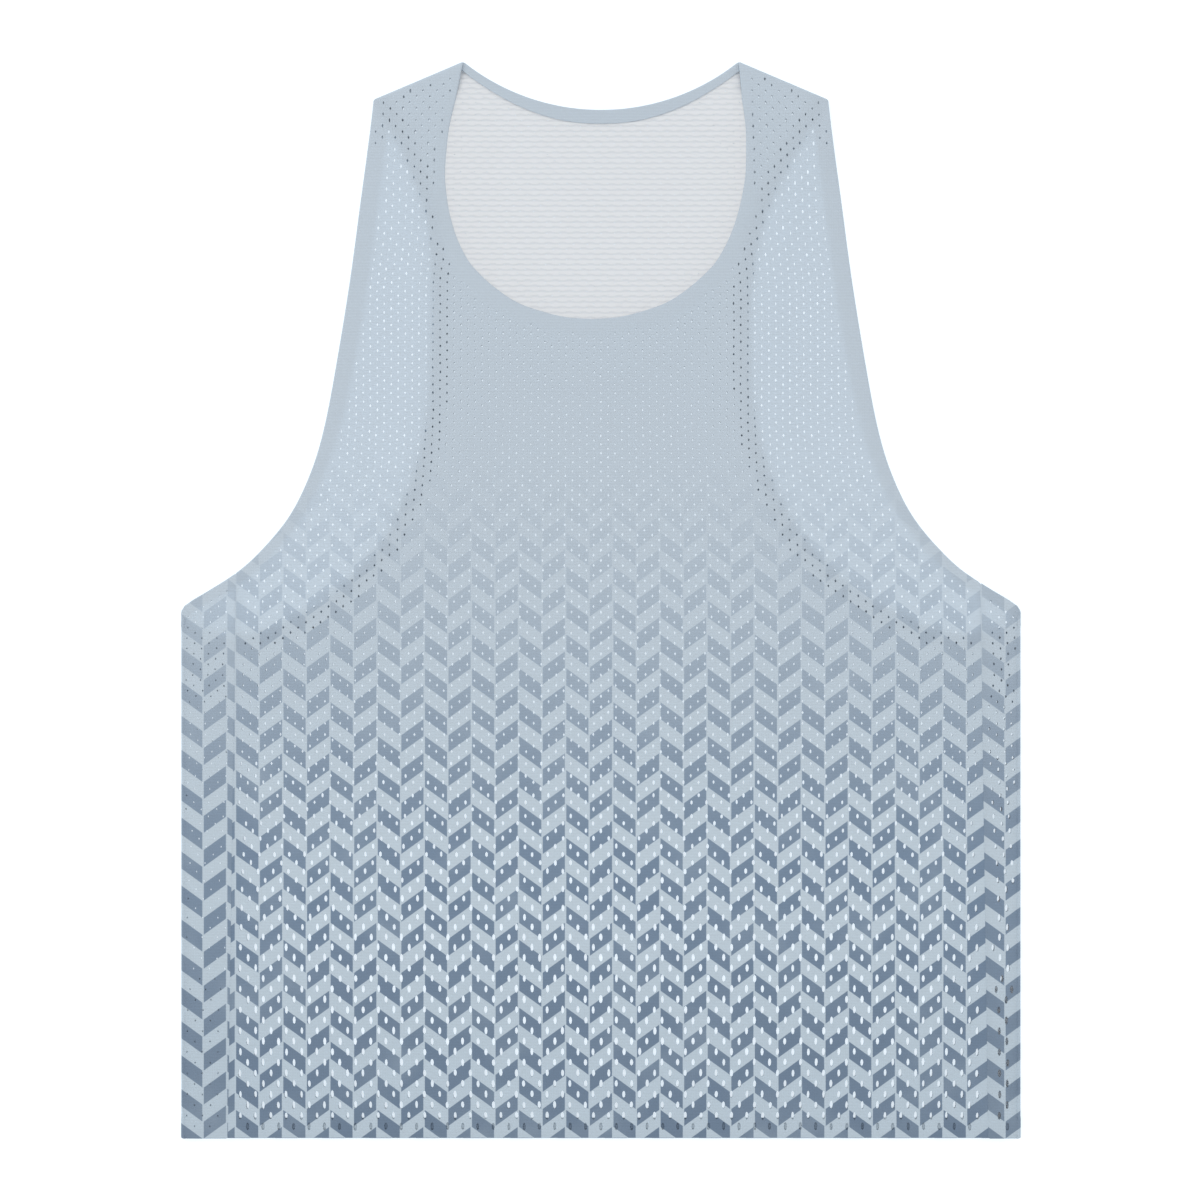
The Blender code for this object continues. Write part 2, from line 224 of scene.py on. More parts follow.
# A panel: its runs, how it is laid, 1 for a front or -1 for a back, its holes' shares, its cloth's
# thickness, the loft of its inner side, and the panel that lies over it.
Panel = namedtuple("Panel", "name runs place facing hole_shares cloth loft cover")

# A panel's edge, the way in from it to where its roll starts, and the roll's radius.
Outline = namedtuple("Outline", "edge inset roll")


def smooth_step(value, start, end):
    """0 at start, 1 at end, with an even slope between."""
    t = np.clip((np.asarray(value, float) - start) / (end - start), 0.0, 1.0)
    return t * t * (3.0 - 2.0 * t)


def blend(low, high, share):
    return low + (high - low) * share


# ---- Reading the frame ----

def outer_face(node, pick):
    """The outer side of a CAD wall: all that joins its picked face without a sharp edge.

    pick is max for the wall whose outer face is its highest, and min for the lowest.
    """
    mesh = bmesh.new()
    mesh.from_mesh(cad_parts[node].data)
    bmesh.ops.remove_doubles(mesh, verts=mesh.verts, dist=MERGE)
    mesh.normal_update()
    start = pick(mesh.faces, key=lambda face: face.calc_center_median().z)
    found = {start}
    front = [start]
    while front:
        face = front.pop()
        for edge in face.edges:
            if edge.calc_face_angle(math.pi) < SHARP:
                fresh = [other for other in edge.link_faces if other not in found]
                found.update(fresh)
                front.extend(fresh)
    rest = [face for face in mesh.faces if face not in found]
    bmesh.ops.delete(mesh, geom=rest, context="FACES")
    mesh.normal_update()
    return mesh


def rim(mesh):
    """The outline of an open mesh as one closed run of vertices."""
    follow = {}
    for edge in mesh.edges:
        if edge.is_boundary:
            loop = edge.link_loops[0]
            follow[loop.vert] = loop.link_loop_next.vert
    vert = next(iter(follow))
    run = []
    for _ in follow:
        run.append(vert)
        vert = follow[vert]
    return run


def unfolded(vert):
    """The plan point of a vertex of the back's outer face, with the side folds opened flat."""
    point = vert.co
    side = math.copysign(1.0, point.x)
    reach = abs(point.x)
    if reach > FOLD_START + MERGE:
        turn = math.atan2(reach - FOLD_START, FOLD_RADIUS - point.z)
        return (side * (FOLD_START + FOLD_RADIUS * turn), point.y)
    if vert.normal.z > 0:
        return (side * (2 * FOLD_START + FOLD_LENGTH - reach), point.y)
    return (point.x, point.y)


def smooth_run(knots):
    """Points about one step apart along a smooth curve through the knots."""
    padded = np.vstack([2 * knots[0] - knots[1], knots, 2 * knots[-1] - knots[-2]])
    curve = [knots[0]]
    for before, start, end, after in zip(padded, padded[1:], padded[2:], padded[3:]):
        count = max(1, round(np.linalg.norm(end - start) / EDGE_STEP))
        lean = end - before
        bend = 2 * before - 5 * start + 4 * end - after
        curl = 3 * start - before - 3 * end + after
        for i in range(1, count + 1):
            t = i / count
            curve.append(start + (lean * t + bend * t * t + curl * t**3) / 2)
    return np.array(curve)


def tip_stations(run):
    """The run with a point close to each end, so that its corners can be rounded."""
    first = run[0] + heading(run, 0) * TIP
    last = run[-1] - heading(run, -1) * TIP
    return np.vstack([run[:1], first, run[1:-1], last, run[-1:]])


def fold_stations(run):
    """The run with more points where it crosses a side fold."""
    step = FOLD_LENGTH / FOLD_STEPS
    points = [run[0]]
    for start, end in zip(run, run[1:]):
        middle = abs(start[0] + end[0]) / 2
        count = 1
        if abs(middle - FOLD_START - FOLD_LENGTH / 2) < FOLD_LENGTH / 2 + EDGE_STEP:
            count = max(1, math.ceil(abs(end[0] - start[0]) / step))
        points += [start + (end - start) * i / count for i in range(1, count + 1)]
    return np.array(points)


def named_runs(plan):
    """The outline's eight runs between its corners, anticlockwise from the hem."""
    points = np.array(plan)
    if np.cross(points, np.roll(points, -1, axis=0)).sum() < 0:
        points = points[::-1]
    along = np.roll(points, -1, axis=0) - points
    bearing = np.arctan2(along[:, 1], along[:, 0])
    turn = (bearing - np.roll(bearing, 1) + math.pi) % (2 * math.pi) - math.pi
    corners = np.flatnonzero(np.abs(turn) > CORNER)
    if len(corners) != len(RUN_NAMES):
        raise ValueError(f"the outline has {len(corners)} corners, not {len(RUN_NAMES)}")
    start = min(corners, key=lambda i: points[i].sum())
    points = np.roll(points, -start, axis=0)
    stops = sorted((corners - start) % len(points)) + [len(points)]
    closed = np.vstack([points, points[:1]])
    runs = [smooth_run(closed[a : b + 1]) for a, b in zip(stops, stops[1:])]
    return {name: fold_stations(tip_stations(run)) for name, run in zip(RUN_NAMES, runs)}


def recut(runs):
    """The back's runs with its racer cut moved in. Both ends of each armhole stay."""
    levels, *moves_in = zip(*RACER)
    window = np.full(2 * RACER_BLUR + 1, 1 / (2 * RACER_BLUR + 1))
    for name, moves in zip(ARMHOLES, moves_in):
        run = runs[name].copy()
        move = np.interp(run[:, 1], levels, moves)
        move *= 1 - smooth_step(np.abs(run[:, 0]), *RACER_END)
        move = np.convolve(np.pad(move, RACER_BLUR, "edge"), window, "valid")
        run[:, 0] -= np.sign(run[:, 0]) * move
        runs[name] = run
    return runs


def height_field(front, back):
    """The height of the upper layer's outer face, as a function of plan points."""
    points, faces = [], []
    for mesh in (front, back):
        for face in mesh.faces:
            if face.normal.z > FACES_UP:
                faces.append(range(len(points), len(points) + len(face.verts)))
                points += [vert.co for vert in face.verts]
    tree = BVHTree.FromPolygons(points, [list(face) for face in faces])
    reach = FOLD_START + FOLD_RADIUS
    xs = np.arange(-reach, reach + HEIGHT_STEP, HEIGHT_STEP)
    ys = np.arange(HEM_LEVEL, TOP_LEVEL + HEIGHT_STEP, HEIGHT_STEP)
    down = Vector((0, 0, -1))
    heights = np.empty((len(ys), len(xs)))
    for j, y in enumerate(ys):
        for i, x in enumerate(xs):
            hit = tree.ray_cast(Vector((x, y, 1)), down)[0]
            hit = hit or tree.find_nearest(Vector((x, y, 2 * FOLD_RADIUS)))[0]
            heights[j, i] = hit.z
    spread = np.arange(-HEIGHT_REACH, HEIGHT_REACH + 1) * HEIGHT_STEP
    kernel = np.exp(-0.5 * (spread / HEIGHT_BLUR) ** 2)
    kernel /= kernel.sum()
    for axis in (0, 1):
        padding = [(HEIGHT_REACH, HEIGHT_REACH) if axis == k else (0, 0) for k in (0, 1)]
        padded = np.pad(heights, padding, mode="edge")
        heights = np.apply_along_axis(np.convolve, axis, padded, kernel, "valid")

    def height(plan):
        column = np.clip((plan[:, 0] - xs[0]) / HEIGHT_STEP, 0, len(xs) - LAST_CELL)
        row = np.clip((plan[:, 1] - ys[0]) / HEIGHT_STEP, 0, len(ys) - LAST_CELL)
        i, j = column.astype(int), row.astype(int)
        right, up = column - i, row - j
        low = heights[j, i] * (1 - right) + heights[j, i + 1] * right
        high = heights[j + 1, i] * (1 - right) + heights[j + 1, i + 1] * right
        over = low * (1 - up) + high * up - REST_HEIGHT
        share = blend(SETTLED_SHARE, 1.0, smooth_step(over + REST_HEIGHT, *SETTLED))
        return REST_HEIGHT + np.where(over > 0, over * share, over)

    return height


# ---- Laying flat pieces ----

def placer_front(height, runs):
    """How a point of the flat front is laid."""
    def place(plan, depth):
        from_neck = distance(plan, runs["neck"])
        from_shoulder = np.minimum(*(distance(plan, runs[name]) for name in SHOULDERS))
        near = 1 - smooth_step(from_neck, *SETTLE_FADE)
        near *= smooth_step(from_shoulder, *SETTLE_CLEAR)
        return np.column_stack([plan, height(plan) - NECK_SETTLE * near - depth])

    return place


def placer_back(height):
    """How a point of the flat back is laid, folded forward round the sides."""
    def place(plan, depth):
        reach, side = np.abs(plan[:, 0]), np.sign(plan[:, 0])
        past = reach - FOLD_START
        turn = np.clip(past / FOLD_RADIUS, 0.0, math.pi)
        radius = FOLD_RADIUS - depth
        upper = 2 * FOLD_START + FOLD_LENGTH - reach
        x = np.where(past < FOLD_LENGTH, FOLD_START + radius * np.sin(turn), upper)
        x = side * np.where(past <= 0, reach, x)
        on_top = height(np.column_stack([x, plan[:, 1]])) - depth
        z = np.where(past < FOLD_LENGTH, FOLD_RADIUS - radius * np.cos(turn), on_top)
        return np.column_stack([x, plan[:, 1], z])

    return place


# ---- Outlines ----

def inward(run):
    """The inward unit normals of a run that goes anticlockwise."""
    along = np.gradient(run, axis=0)
    along /= np.linalg.norm(along, axis=1, keepdims=True)
    return np.column_stack([-along[:, 1], along[:, 0]])


def heading(run, end):
    """The unit direction of a run at its start (0) or its end (-1)."""
    step = run[1] - run[0] if end == 0 else run[-1] - run[-2]
    return step / np.linalg.norm(step)


def outline_of(panel):
    """The whole edge of a panel, with its rolls."""
    corners = []
    for before, name in zip((RUN_NAMES[-1], *RUN_NAMES), RUN_NAMES):
        sides = np.array([inward(panel.runs[before])[-1], inward(panel.runs[name])[0]])
        corners.append(np.linalg.solve(sides, [ROLLS[before], ROLLS[name]]))
    edge, inset, roll = [], [], []
    for i, name in enumerate(RUN_NAMES):
        before, run, radius = RUN_NAMES[i - 1], panel.runs[name], ROLLS[name]
        normals = inward(run)
        along = np.column_stack([normals[:, 1], -normals[:, 0]])
        reach = lengths(run)
        after = corners[(i + 1) % len(corners)]
        slide = corners[i].dot(along[0]) * np.clip(1 - reach / ROLL_EASE, 0, 1)
        slide += after.dot(along[-1]) * np.clip(1 - (reach[-1] - reach) / ROLL_EASE, 0, 1)
        ease = SEAM_EASE if name.startswith("seam") else 0.0
        eased = run[:-1] - normals[:-1] * ease
        eased[0] += TIP_CUT * (heading(run, 0) - heading(panel.runs[before], -1))
        edge.append(eased)
        inset.append((normals * radius + along * slide[:, None])[:-1])
        roll.append([min(radius, ROLLS[before]), *[radius] * (len(run) - 2)])
    return Outline(np.vstack(edge), np.vstack(inset), np.concatenate(roll))


def end_slides(panel, name):
    """The way in from each point of a run, for one metre of width.

    Its ends slide along the next runs.
    """
    run = panel.runs[name]
    normals = inward(run)
    along = np.column_stack([normals[:, 1], -normals[:, 0]])
    order = RUN_NAMES.index(name)
    back = -heading(panel.runs[RUN_NAMES[order - 1]], -1)
    ahead = heading(panel.runs[RUN_NAMES[(order + 1) % len(RUN_NAMES)]], 0)
    reach = lengths(run)
    first = back.dot(along[0]) / back.dot(normals[0]) * np.clip(1 - reach / BAND_EASE, 0, 1)
    last = ahead.dot(along[-1]) / ahead.dot(normals[-1])
    last = last * np.clip(1 - (reach[-1] - reach) / BAND_EASE, 0, 1)
    return normals + along * (first + last)[:, None]


def stopped(run):
    """The run with both its ends drawn back, so that a band stops inside the next edge's roll."""
    short = run.copy()
    short[0] += heading(run, 0) * BAND_STOP
    short[-1] -= heading(run, -1) * BAND_STOP
    return short


def distance(points, run, widths=None):
    """The distance of each point from a run, or from a band of those widths along it."""
    nearest = np.full(len(points), np.inf)
    width = np.zeros(len(points))
    widths = np.zeros(len(run)) if widths is None else widths
    for a, b, start, end in zip(run, run[1:], widths, widths[1:]):
        along = b - a
        t = np.clip((points - a) @ along / (along @ along), 0.0, 1.0)
        away = np.linalg.norm(points - a - t[:, None] * along, axis=1)
        width = np.where(away < nearest, blend(start, end, t), width)
        nearest = np.minimum(nearest, away)
    return nearest - width


def lengths(run):
    """How far along the run each of its points is."""
    steps = np.linalg.norm(np.diff(run, axis=0), axis=1)
    return np.concatenate([[0.0], np.cumsum(steps)])


def band_widths(panel, name):
    """A band's width at each point of its run, narrower near neck points and underarms."""
    reach = lengths(panel.runs[name])
    if name == "neck":
        reach = np.minimum(reach, reach[-1] - reach)
        share = blend(NECK_END_SHARE, 1.0, smooth_step(reach, *NECK_TAPER))
    elif name == "hem":
        share = np.ones(len(reach))
    else:
        reach = reach if name.endswith("left") else reach[-1] - reach
        share = blend(ARMHOLE_END_SHARE, 1.0, smooth_step(reach, *ARMHOLE_TAPER))
    return BAND_WIDTHS[name] * share


def within(points, loop):
    """Whether each point lies in a closed loop."""
    found = np.zeros(len(points), bool)
    for a, b in zip(loop, np.roll(loop, -1, axis=0)):
        if a[1] != b[1]:
            crosses = (a[1] > points[:, 1]) != (b[1] > points[:, 1])
            reach = a[0] + (points[:, 1] - a[1]) / (b[1] - a[1]) * (b[0] - a[0])
            found ^= crosses & (points[:, 0] < reach)
    return found


# ---- Holes ----

def net():
    """The centres of a staggered net of holes, row by row from the top. Both panels share it.

    Past a side fold the holes lie on those of the layer below, less a slip in shares of the pitch.
    """
    centres = []
    middle = FOLD_START + FOLD_LENGTH / 2
    level, row = TOP_LEVEL, 0
    while level > HEM_LEVEL:
        pitch = np.interp(level, NET_LEVEL, NET_PITCH)
        most = int(middle / pitch) + 1
        across = (np.arange(-most, most + 1) + 0.5 * (row % 2)) * pitch
        across = across[np.abs(across) < middle]
        slip = pitch * np.interp(level, *STRIP_SLIP)
        across = np.append(across, np.sign(across) * (2 * middle - np.abs(across) - slip))
        centres.append(np.column_stack([across, np.full(len(across), level)]))
        level -= np.interp(level, NET_LEVEL, NET_ROW)
        row += 1
    return np.vstack(centres)


def holes_of(panel, outline):
    """One closed loop of points for each hole, clear of the bands and the seams."""
    rng = np.random.default_rng(SEED)
    centres = net()
    centres = centres + rng.normal(0.0, HOLE_SHIFT, centres.shape)
    high = smooth_step(centres[:, 1], *BACK_HOLE_LEVEL)[:, None]
    sizes = [np.interp(centres[:, 1], NET_LEVEL, size) for size in (HALF_ACROSS, HALF_UP)]
    half = np.column_stack(sizes)
    half *= blend(*panel.hole_shares, high)
    if panel.cover is not None:
        bare = ~within(centres, outline_of(panel.cover).edge)
        half[bare & (centres[:, 1] > OPEN_LEVEL)] *= OPEN_SHARE
    strip = np.abs(centres[:, 0]) > FOLD_START
    half[strip & (centres[:, 0] < 0)] = STRIP_HOLE
    half = half * (1.0 + blend(*HOLE_SPREAD, high) * rng.uniform(-1.0, 1.0, centres.shape))
    clear = within(centres, outline.edge)
    for name in RUN_NAMES:
        kind, run = name.partition("_")[0], panel.runs[name]
        if kind in HOLE_MARGINS:
            past = distance(centres, run) - HOLE_MARGINS[kind]
        else:
            past = distance(centres, run, band_widths(panel, name)) - BAND_MARGIN
            over_band = strip | (centres[:, 1] > STRAP_LEVELS[kind])
            past = np.where(over_band, distance(centres, run) - EDGE_MARGIN, past)
        clear &= past > half.max(axis=1)
    from_fold = np.abs(np.abs(centres[:, 0]) - FOLD_START - FOLD_LENGTH / 2)
    clear &= from_fold > FOLD_LENGTH / 2 + half.max(axis=1)
    if panel.cover is not None:
        clear &= distance(centres, panel.cover.runs["neck"]) > COVER_MARGIN
    loops = []
    for centre, size in zip(centres[clear], half[clear]):
        sides = next(count for limit, count in HOLE_SIDES if size[1] < limit)
        angles = math.pi / 2 + np.arange(sides) * (2 * math.pi / sides)
        loops.append(centre + np.column_stack([np.cos(angles), np.sin(angles)]) * size)
    return loops


# ---- Meshes ----

def make_object(name, points, faces, slots, materials):
    """A shaded mesh object from points, faces and each face's material slot."""
    data = bpy.data.meshes.new(name)
    data.from_pydata([tuple(p) for p in points], [], faces)
    for material in materials:
        data.materials.append(material)
    data.polygons.foreach_set("material_index", np.array(slots, np.int32))
    data.shade_smooth()
    data.set_sharp_from_angle(angle=SHARP)
    data.update()
    piece = bpy.data.objects.new(name, data)
    bpy.context.scene.collection.objects.link(piece)
    return piece


def relief(panel, plan):
    """How far the outer face sinks where no band lies under it."""
    sunk = np.full(len(plan), BAND_RELIEF)
    for name in BAND_WIDTHS:
        past = distance(plan, panel.runs[name], band_widths(panel, name))
        sunk = np.minimum(sunk, BAND_RELIEF * smooth_step(past, 0.0, RELIEF_WIDTH))
    return sunk


def guide_lines(panel, loop):
    """Lines along bands' inner edges, the cover's neck edge and the folds, clear of the loop."""
    lines = []
    for name in BAND_WIDTHS:
        run, slide = panel.runs[name], end_slides(panel, name)
        width = band_widths(panel, name)[:, None]
        lines += [run + slide * width, run + slide * (width + RELIEF_WIDTH)]
    if panel.cover is not None:
        run = panel.cover.runs["neck"]
        lines += [run - inward(run) * past for past in EDGE_RISE]
    levels = np.arange(HEM_LEVEL, TOP_LEVEL, EDGE_STEP)
    for reach in FOLD_START + np.linspace(0, FOLD_LENGTH, FOLD_STEPS + 1):
        lines += [np.column_stack([np.full(len(levels), x), levels]) for x in (reach, -reach)]
    closed = np.vstack([loop, loop[:1]])
    clear = [within(line, loop) & (distance(line, closed) > EDGE_STEP / 2) for line in lines]
    return [line[kept] for line, kept in zip(lines, clear) if kept.any()]


def open_net(panel, outline):
    """The flat panel's points and triangles inside its rolled edges, with its holes left open."""
    start = outline.edge + outline.inset
    loops = [start, *holes_of(panel, outline)]
    points, faces = [], []
    for loop in loops:
        faces.append(list(range(len(points), len(points) + len(loop))))
        points += [Vector(p) for p in loop]
    edges = []
    for line in guide_lines(panel, start):
        edges += [(i, i + 1) for i in range(len(points), len(points) + len(line) - 1)]
        points += [Vector(p) for p in line]
    found = delaunay_2d_cdt(points, edges, faces, 1, MERGE / 10)
    plan = np.array(found[0])
    triangles = [face for face, inside in zip(found[2], found[5]) if inside == [0]]
    return plan, np.array(triangles)


def open_edges(triangles, count):
    """The directed edges that only one triangle has, as pairs."""
    ends = np.vstack([triangles[:, [0, 1]], triangles[:, [1, 2]], triangles[:, [2, 0]]])
    keys = ends[:, 0] * count + ends[:, 1]
    back = ends[:, 1] * count + ends[:, 0]
    return ends[~np.isin(keys, back)]


def opening_rise(panel, plan):
    """How much more the inner side rises in the neck opening of the panel that lies over it."""
    if panel.cover is None:
        return 0.0
    past = distance(plan, panel.cover.runs["neck"])
    past = np.where(within(plan, outline_of(panel.cover).edge), -past, past)
    from_band = distance(plan, panel.runs["neck"], band_widths(panel, "neck"))
    beside = (1 - smooth_step(past, *EDGE_FADE)) * smooth_step(from_band, *EDGE_CLEAR)
    opened = smooth_step(past, *EDGE_RISE) * (plan[:, 1] > OPEN_LEVEL)
    return opened * (OPEN_LOFT + EDGE_LOFT * beside)


def wall(panel, plan):
    """The cloth's thickness at each plan point, with the loft of its inner side."""
    share = smooth_step(FOLD_START - np.abs(plan[:, 0]), *LOFT_FOLD)
    for name in BAND_WIDTHS:
        past = distance(plan, panel.runs[name], band_widths(panel, name))
        fade = LOFT_NECK if name == "neck" else LOFT_BAND
        share = np.minimum(share, smooth_step(past, *fade))
    for name in SHOULDERS:
        share = np.minimum(share, smooth_step(distance(plan, panel.runs[name]), *LOFT_SHOULDER))
    return panel.cloth + (panel.loft + opening_rise(panel, plan)) * share


def add_panel(panel, materials):
    """A panel as one closed shell: outer face, inner face, hole walls and rolled edges."""
    outline = outline_of(panel)
    plan, triangles = open_net(panel, outline)
    count = len(plan)
    sunk = relief(panel, plan)
    points = [panel.place(plan, sunk), panel.place(plan, sunk + wall(panel, plan))]
    faces = [tuple(face) for face in triangles]
    faces += [tuple(face + count) for face in triangles[:, ::-1]]
    slots = [0] * len(triangles) + [1] * len(triangles)

    edges = open_edges(triangles, count)
    follow = dict(edges)
    first = int(np.argmin(np.linalg.norm(plan - outline.edge[0] - outline.inset[0], axis=1)))
    ring = [first]
    while follow[ring[-1]] != first:
        ring.append(follow[ring[-1]])
    on_ring = np.zeros(count, bool)
    on_ring[ring] = True
    for a, b in edges:
        if not on_ring[a]:
            faces.append((b, a, a + count, b + count))
            slots.append(0)

    rings = [np.array(ring)]
    total = 2 * count
    for radius_share, angles in ((0, range(1, ROLL_STEPS + 1)), (1, range(ROLL_STEPS, 0, -1))):
        for step in angles:
            turn = step / ROLL_STEPS * math.pi / 2
            radius = outline.roll - radius_share * CLOTH
            back = 1 - radius / outline.roll * math.sin(turn)
            depth = outline.roll - radius * math.cos(turn)
            points.append(panel.place(outline.edge + outline.inset * back[:, None], depth))
            rings.append(np.arange(total, total + len(ring)))
            total += len(ring)
    rings.append(np.array(ring) + count)
    for k, (near, far) in enumerate(zip(rings, rings[1:])):
        for a, b, c, d in zip(near, np.roll(near, -1), np.roll(far, -1), far):
            faces.append((b, a, d, c))
            slots.append(0 if k <= ROLL_STEPS else 1)
    return finish_piece(f"{panel.name}_cloth", points, faces, slots, panel, materials)


def finish_piece(name, points, faces, slots, panel, materials):
    """The piece, with its faces turned over where its panel faces down."""
    faces = [tuple(int(i) for i in face) for face in faces]
    if panel.facing < 0:
        faces = [face[::-1] for face in faces]
    return make_object(name, np.vstack(points), faces, slots, materials)


def add_strip(name, panel, run, slide, profile, materials):
    """A closed strip along a run. Its section is a profile of (way in, depth), each way one
    number or one for each point. Its faces point in, which the render doesn't show.
    """
    points = []
    for away, depth in profile:
        way = slide * np.broadcast_to(away, len(run))[:, None]
        points.append(panel.place(run + way, np.full(len(run), depth)))
    length, around = len(run), len(profile)
    faces = []
    for k in range(around):
        near, far = k * length, (k + 1) % around * length
        faces += [(near + i, near + i + 1, far + i + 1, far + i) for i in range(length - 1)]
    faces.append([k * length for k in range(around)])
    faces.append([k * length + length - 1 for k in reversed(range(around))])
    return finish_piece(name, points, faces, [0] * len(faces), panel, materials)


def band_profile(width):
    """A turned band's section, from the middle of the edge's roll to the band's inner edge."""
    turns = [math.pi / 2 * (1 + k / ROLL_STEPS) for k in range(ROLL_STEPS + 1)]
    outer = [(HEM_ROLL * (1 - math.sin(t)), HEM_ROLL * (1 - math.cos(t))) for t in turns]
    ends = [(width, 2 * HEM_ROLL), (width, BAND_TOP)]
    return [*outer, *ends, (HEM_ROLL, BAND_TOP), (CLOTH, HEM_ROLL)]


def add_bands(panel, materials):
    """The panel's turned bands, each with the CAD node that it stands for."""
    made = {}
    for name in BAND_WIDTHS:
        kind, _, side = name.partition("_")
        node = "_".join(filter(None, [panel.name, kind, "band", side]))
        run, slide = stopped(panel.runs[name]), end_slides(panel, name)
        profile = band_profile(band_widths(panel, name))
        made[node] = add_strip(f"{node}_cloth", panel, run, slide, profile, materials)
    return made


def add_allowances(panel, materials):
    """The seam allowances under the shoulders, between the two bands."""
    made = {}
    start = FOLD_RADIUS + CLOTH
    profile = [
        (start, LAYER + CLOTH), (SHOULDER_ALLOWANCE, LAYER + CLOTH),
        (SHOULDER_ALLOWANCE, LAYER), (start, LAYER),
    ]
    for side in ("left", "right"):
        run = panel.runs[f"shoulder_{side}"]
        clear = distance(run, panel.runs["neck"]) > NECK_BAND
        clear &= distance(run, panel.runs[f"armhole_{side}"]) > ARMHOLE_BAND
        node = f"{panel.name}_shoulder_allowance_{side}"
        slide = inward(run)[clear]
        made[node] = add_strip(f"{node}_cloth", panel, run[clear], slide, profile, materials)
    return made


def paint_band_shade(cloth, below):
    """Paints shade on the cloth in a strip over the armhole bands of the panel below, as a point
    attribute of how strongly each point is darkened.
    """
    plan = np.array([vert.co.xy for vert in cloth.data.vertices])
    side = np.where(within(plan, outline_of(below).edge), 1.0, -1.0)
    band_shade = np.zeros(len(plan))
    for name in ARMHOLES:
        past = side * distance(plan, below.runs[name])
        strip = smooth_step(past, *PAINTED_SHADE_START) * (1 - smooth_step(past, *PAINTED_SHADE_END))
        band_shade = np.maximum(band_shade, strip)
    cloth.data.attributes.new(PAINTED_SHADE_ATTRIBUTE, "FLOAT", "POINT").data.foreach_set("value", band_shade)


# ---- Materials ----

class Nodes:
    """Short ways to add shader nodes."""

    def __init__(self, name):
        self.material = bpy.data.materials.new(name)
        self.material.use_nodes = True
        self.tree = self.material.node_tree
        self.tree.nodes.clear()

    def add(self, kind, inputs=(), **settings):
        node = self.tree.nodes.new(kind)
        for key, value in settings.items():
            setattr(node, key, value)
        for key, value in dict(inputs).items():
            if isinstance(value, bpy.types.NodeSocket):
                self.tree.links.new(value, node.inputs[key])
            else:
                node.inputs[key].default_value = value
        return node

    def math(self, operation, *values):
        return self.add("ShaderNodeMath", enumerate(values), operation=operation).outputs[0]

    def step(self, value, low, high):
        inputs = {"Value": value, "From Min": low, "From Max": high}
        node = self.add("ShaderNodeMapRange", inputs, interpolation_type="SMOOTHSTEP")
        return node.outputs[0]

    def mix(self, share, low, high):
        inputs = {0: share, 6: low, 7: high}
        return self.add("ShaderNodeMix", inputs, data_type="RGBA").outputs[2]


def srgb(red, green, blue):
    """A colour for a shader from 8-bit sRGB values."""
    values = [v / 255 for v in (red, green, blue)]
    return (*[v / 12.92 if v <= 0.04045 else ((v + 0.055) / 1.055) ** 2.4 for v in values], 1.0)


# Colours of the outer side, pale and printed, at the chest and at the hem, and of the inner side.
PALE = srgb(195, 207, 218)
PALE_LOW = srgb(197, 211, 222)
PALE_HEM = srgb(191, 206, 218)
SLATE = srgb(120, 140, 163)
SLATE_LOW = srgb(113, 132, 154)
INNER = srgb(244, 245, 246)
INNER_GROOVE = srgb(233, 235, 238)

# Print: slanted bars in upright columns, turned the other way in each second column. It fades in
# and the hem's colours follow between the levels. Counting starts far out, to stay above nought.
PRINT_COLUMN = 0.0150
PRINT_REPEAT = 0.0216
PRINT_SLANT = 0.5
PRINT_SOFT = 0.012
PRINT_BAR = 0.25
PRINT_LEVELS = (0.110, -0.190)
HEM_LEVELS = (-0.160, -0.330)
COLUMN_LINE = 0.020
FIRST_COLUMN = 100.5
FIRST_BAR = 100.0
INK_SCALE = 22.0
INK_DETAIL = 3.0
INK_CLOUD = (-0.6, 0.6)

# Each panel's print: its phase, its strength and the tone of the cloth.
FRONT_PRINT = (0.0, 1.0, 1.0)
BACK_PRINT = (0.37, 0.92, 0.982)

# Knit: spacing of the ribs and stitches, and the inner side's ridges and their sway.
RIB = 0.0019
WALE = 0.0011
WALE_HEIGHT = 0.6
# Painted shade of the outer ribs: the colour is scaled down in the grooves and up towards the ribs'
# crests, over the bump.
RIB_PAINTED_SHADE_SPAN = 0.034
GROOVE_PAINTED_SHADE = 0.983
INNER_RIDGE = 0.0034
INNER_WAVE = 0.00042
INNER_SWAY = 0.0089
INNER_WIDTH = 0.55

# Finish: roughness, depth of the bump, and the share of light that passes through.
OUTER_FINISH = (0.72, 0.00012, 0.20)
INNER_FINISH = (0.8, 0.00020, 0.35)
BUMP_STRENGTH = 0.8
SPECULAR = 0.25
SHEEN = 0.12
SHEEN_ROUGHNESS = 0.5


def position(nodes):
    """The rest position as three sockets and as one."""
    place = nodes.add("ShaderNodeTexCoord").outputs["Object"]
    return nodes.add("ShaderNodeSeparateXYZ", {0: place}).outputs, place


def wave(nodes, value, length):
    """0 to 1 and back over each length."""
    turned = nodes.math("MULTIPLY", value, 2 * math.pi / length)
    return nodes.math("MULTIPLY_ADD", nodes.math("SINE", turned), 0.5, 0.5)


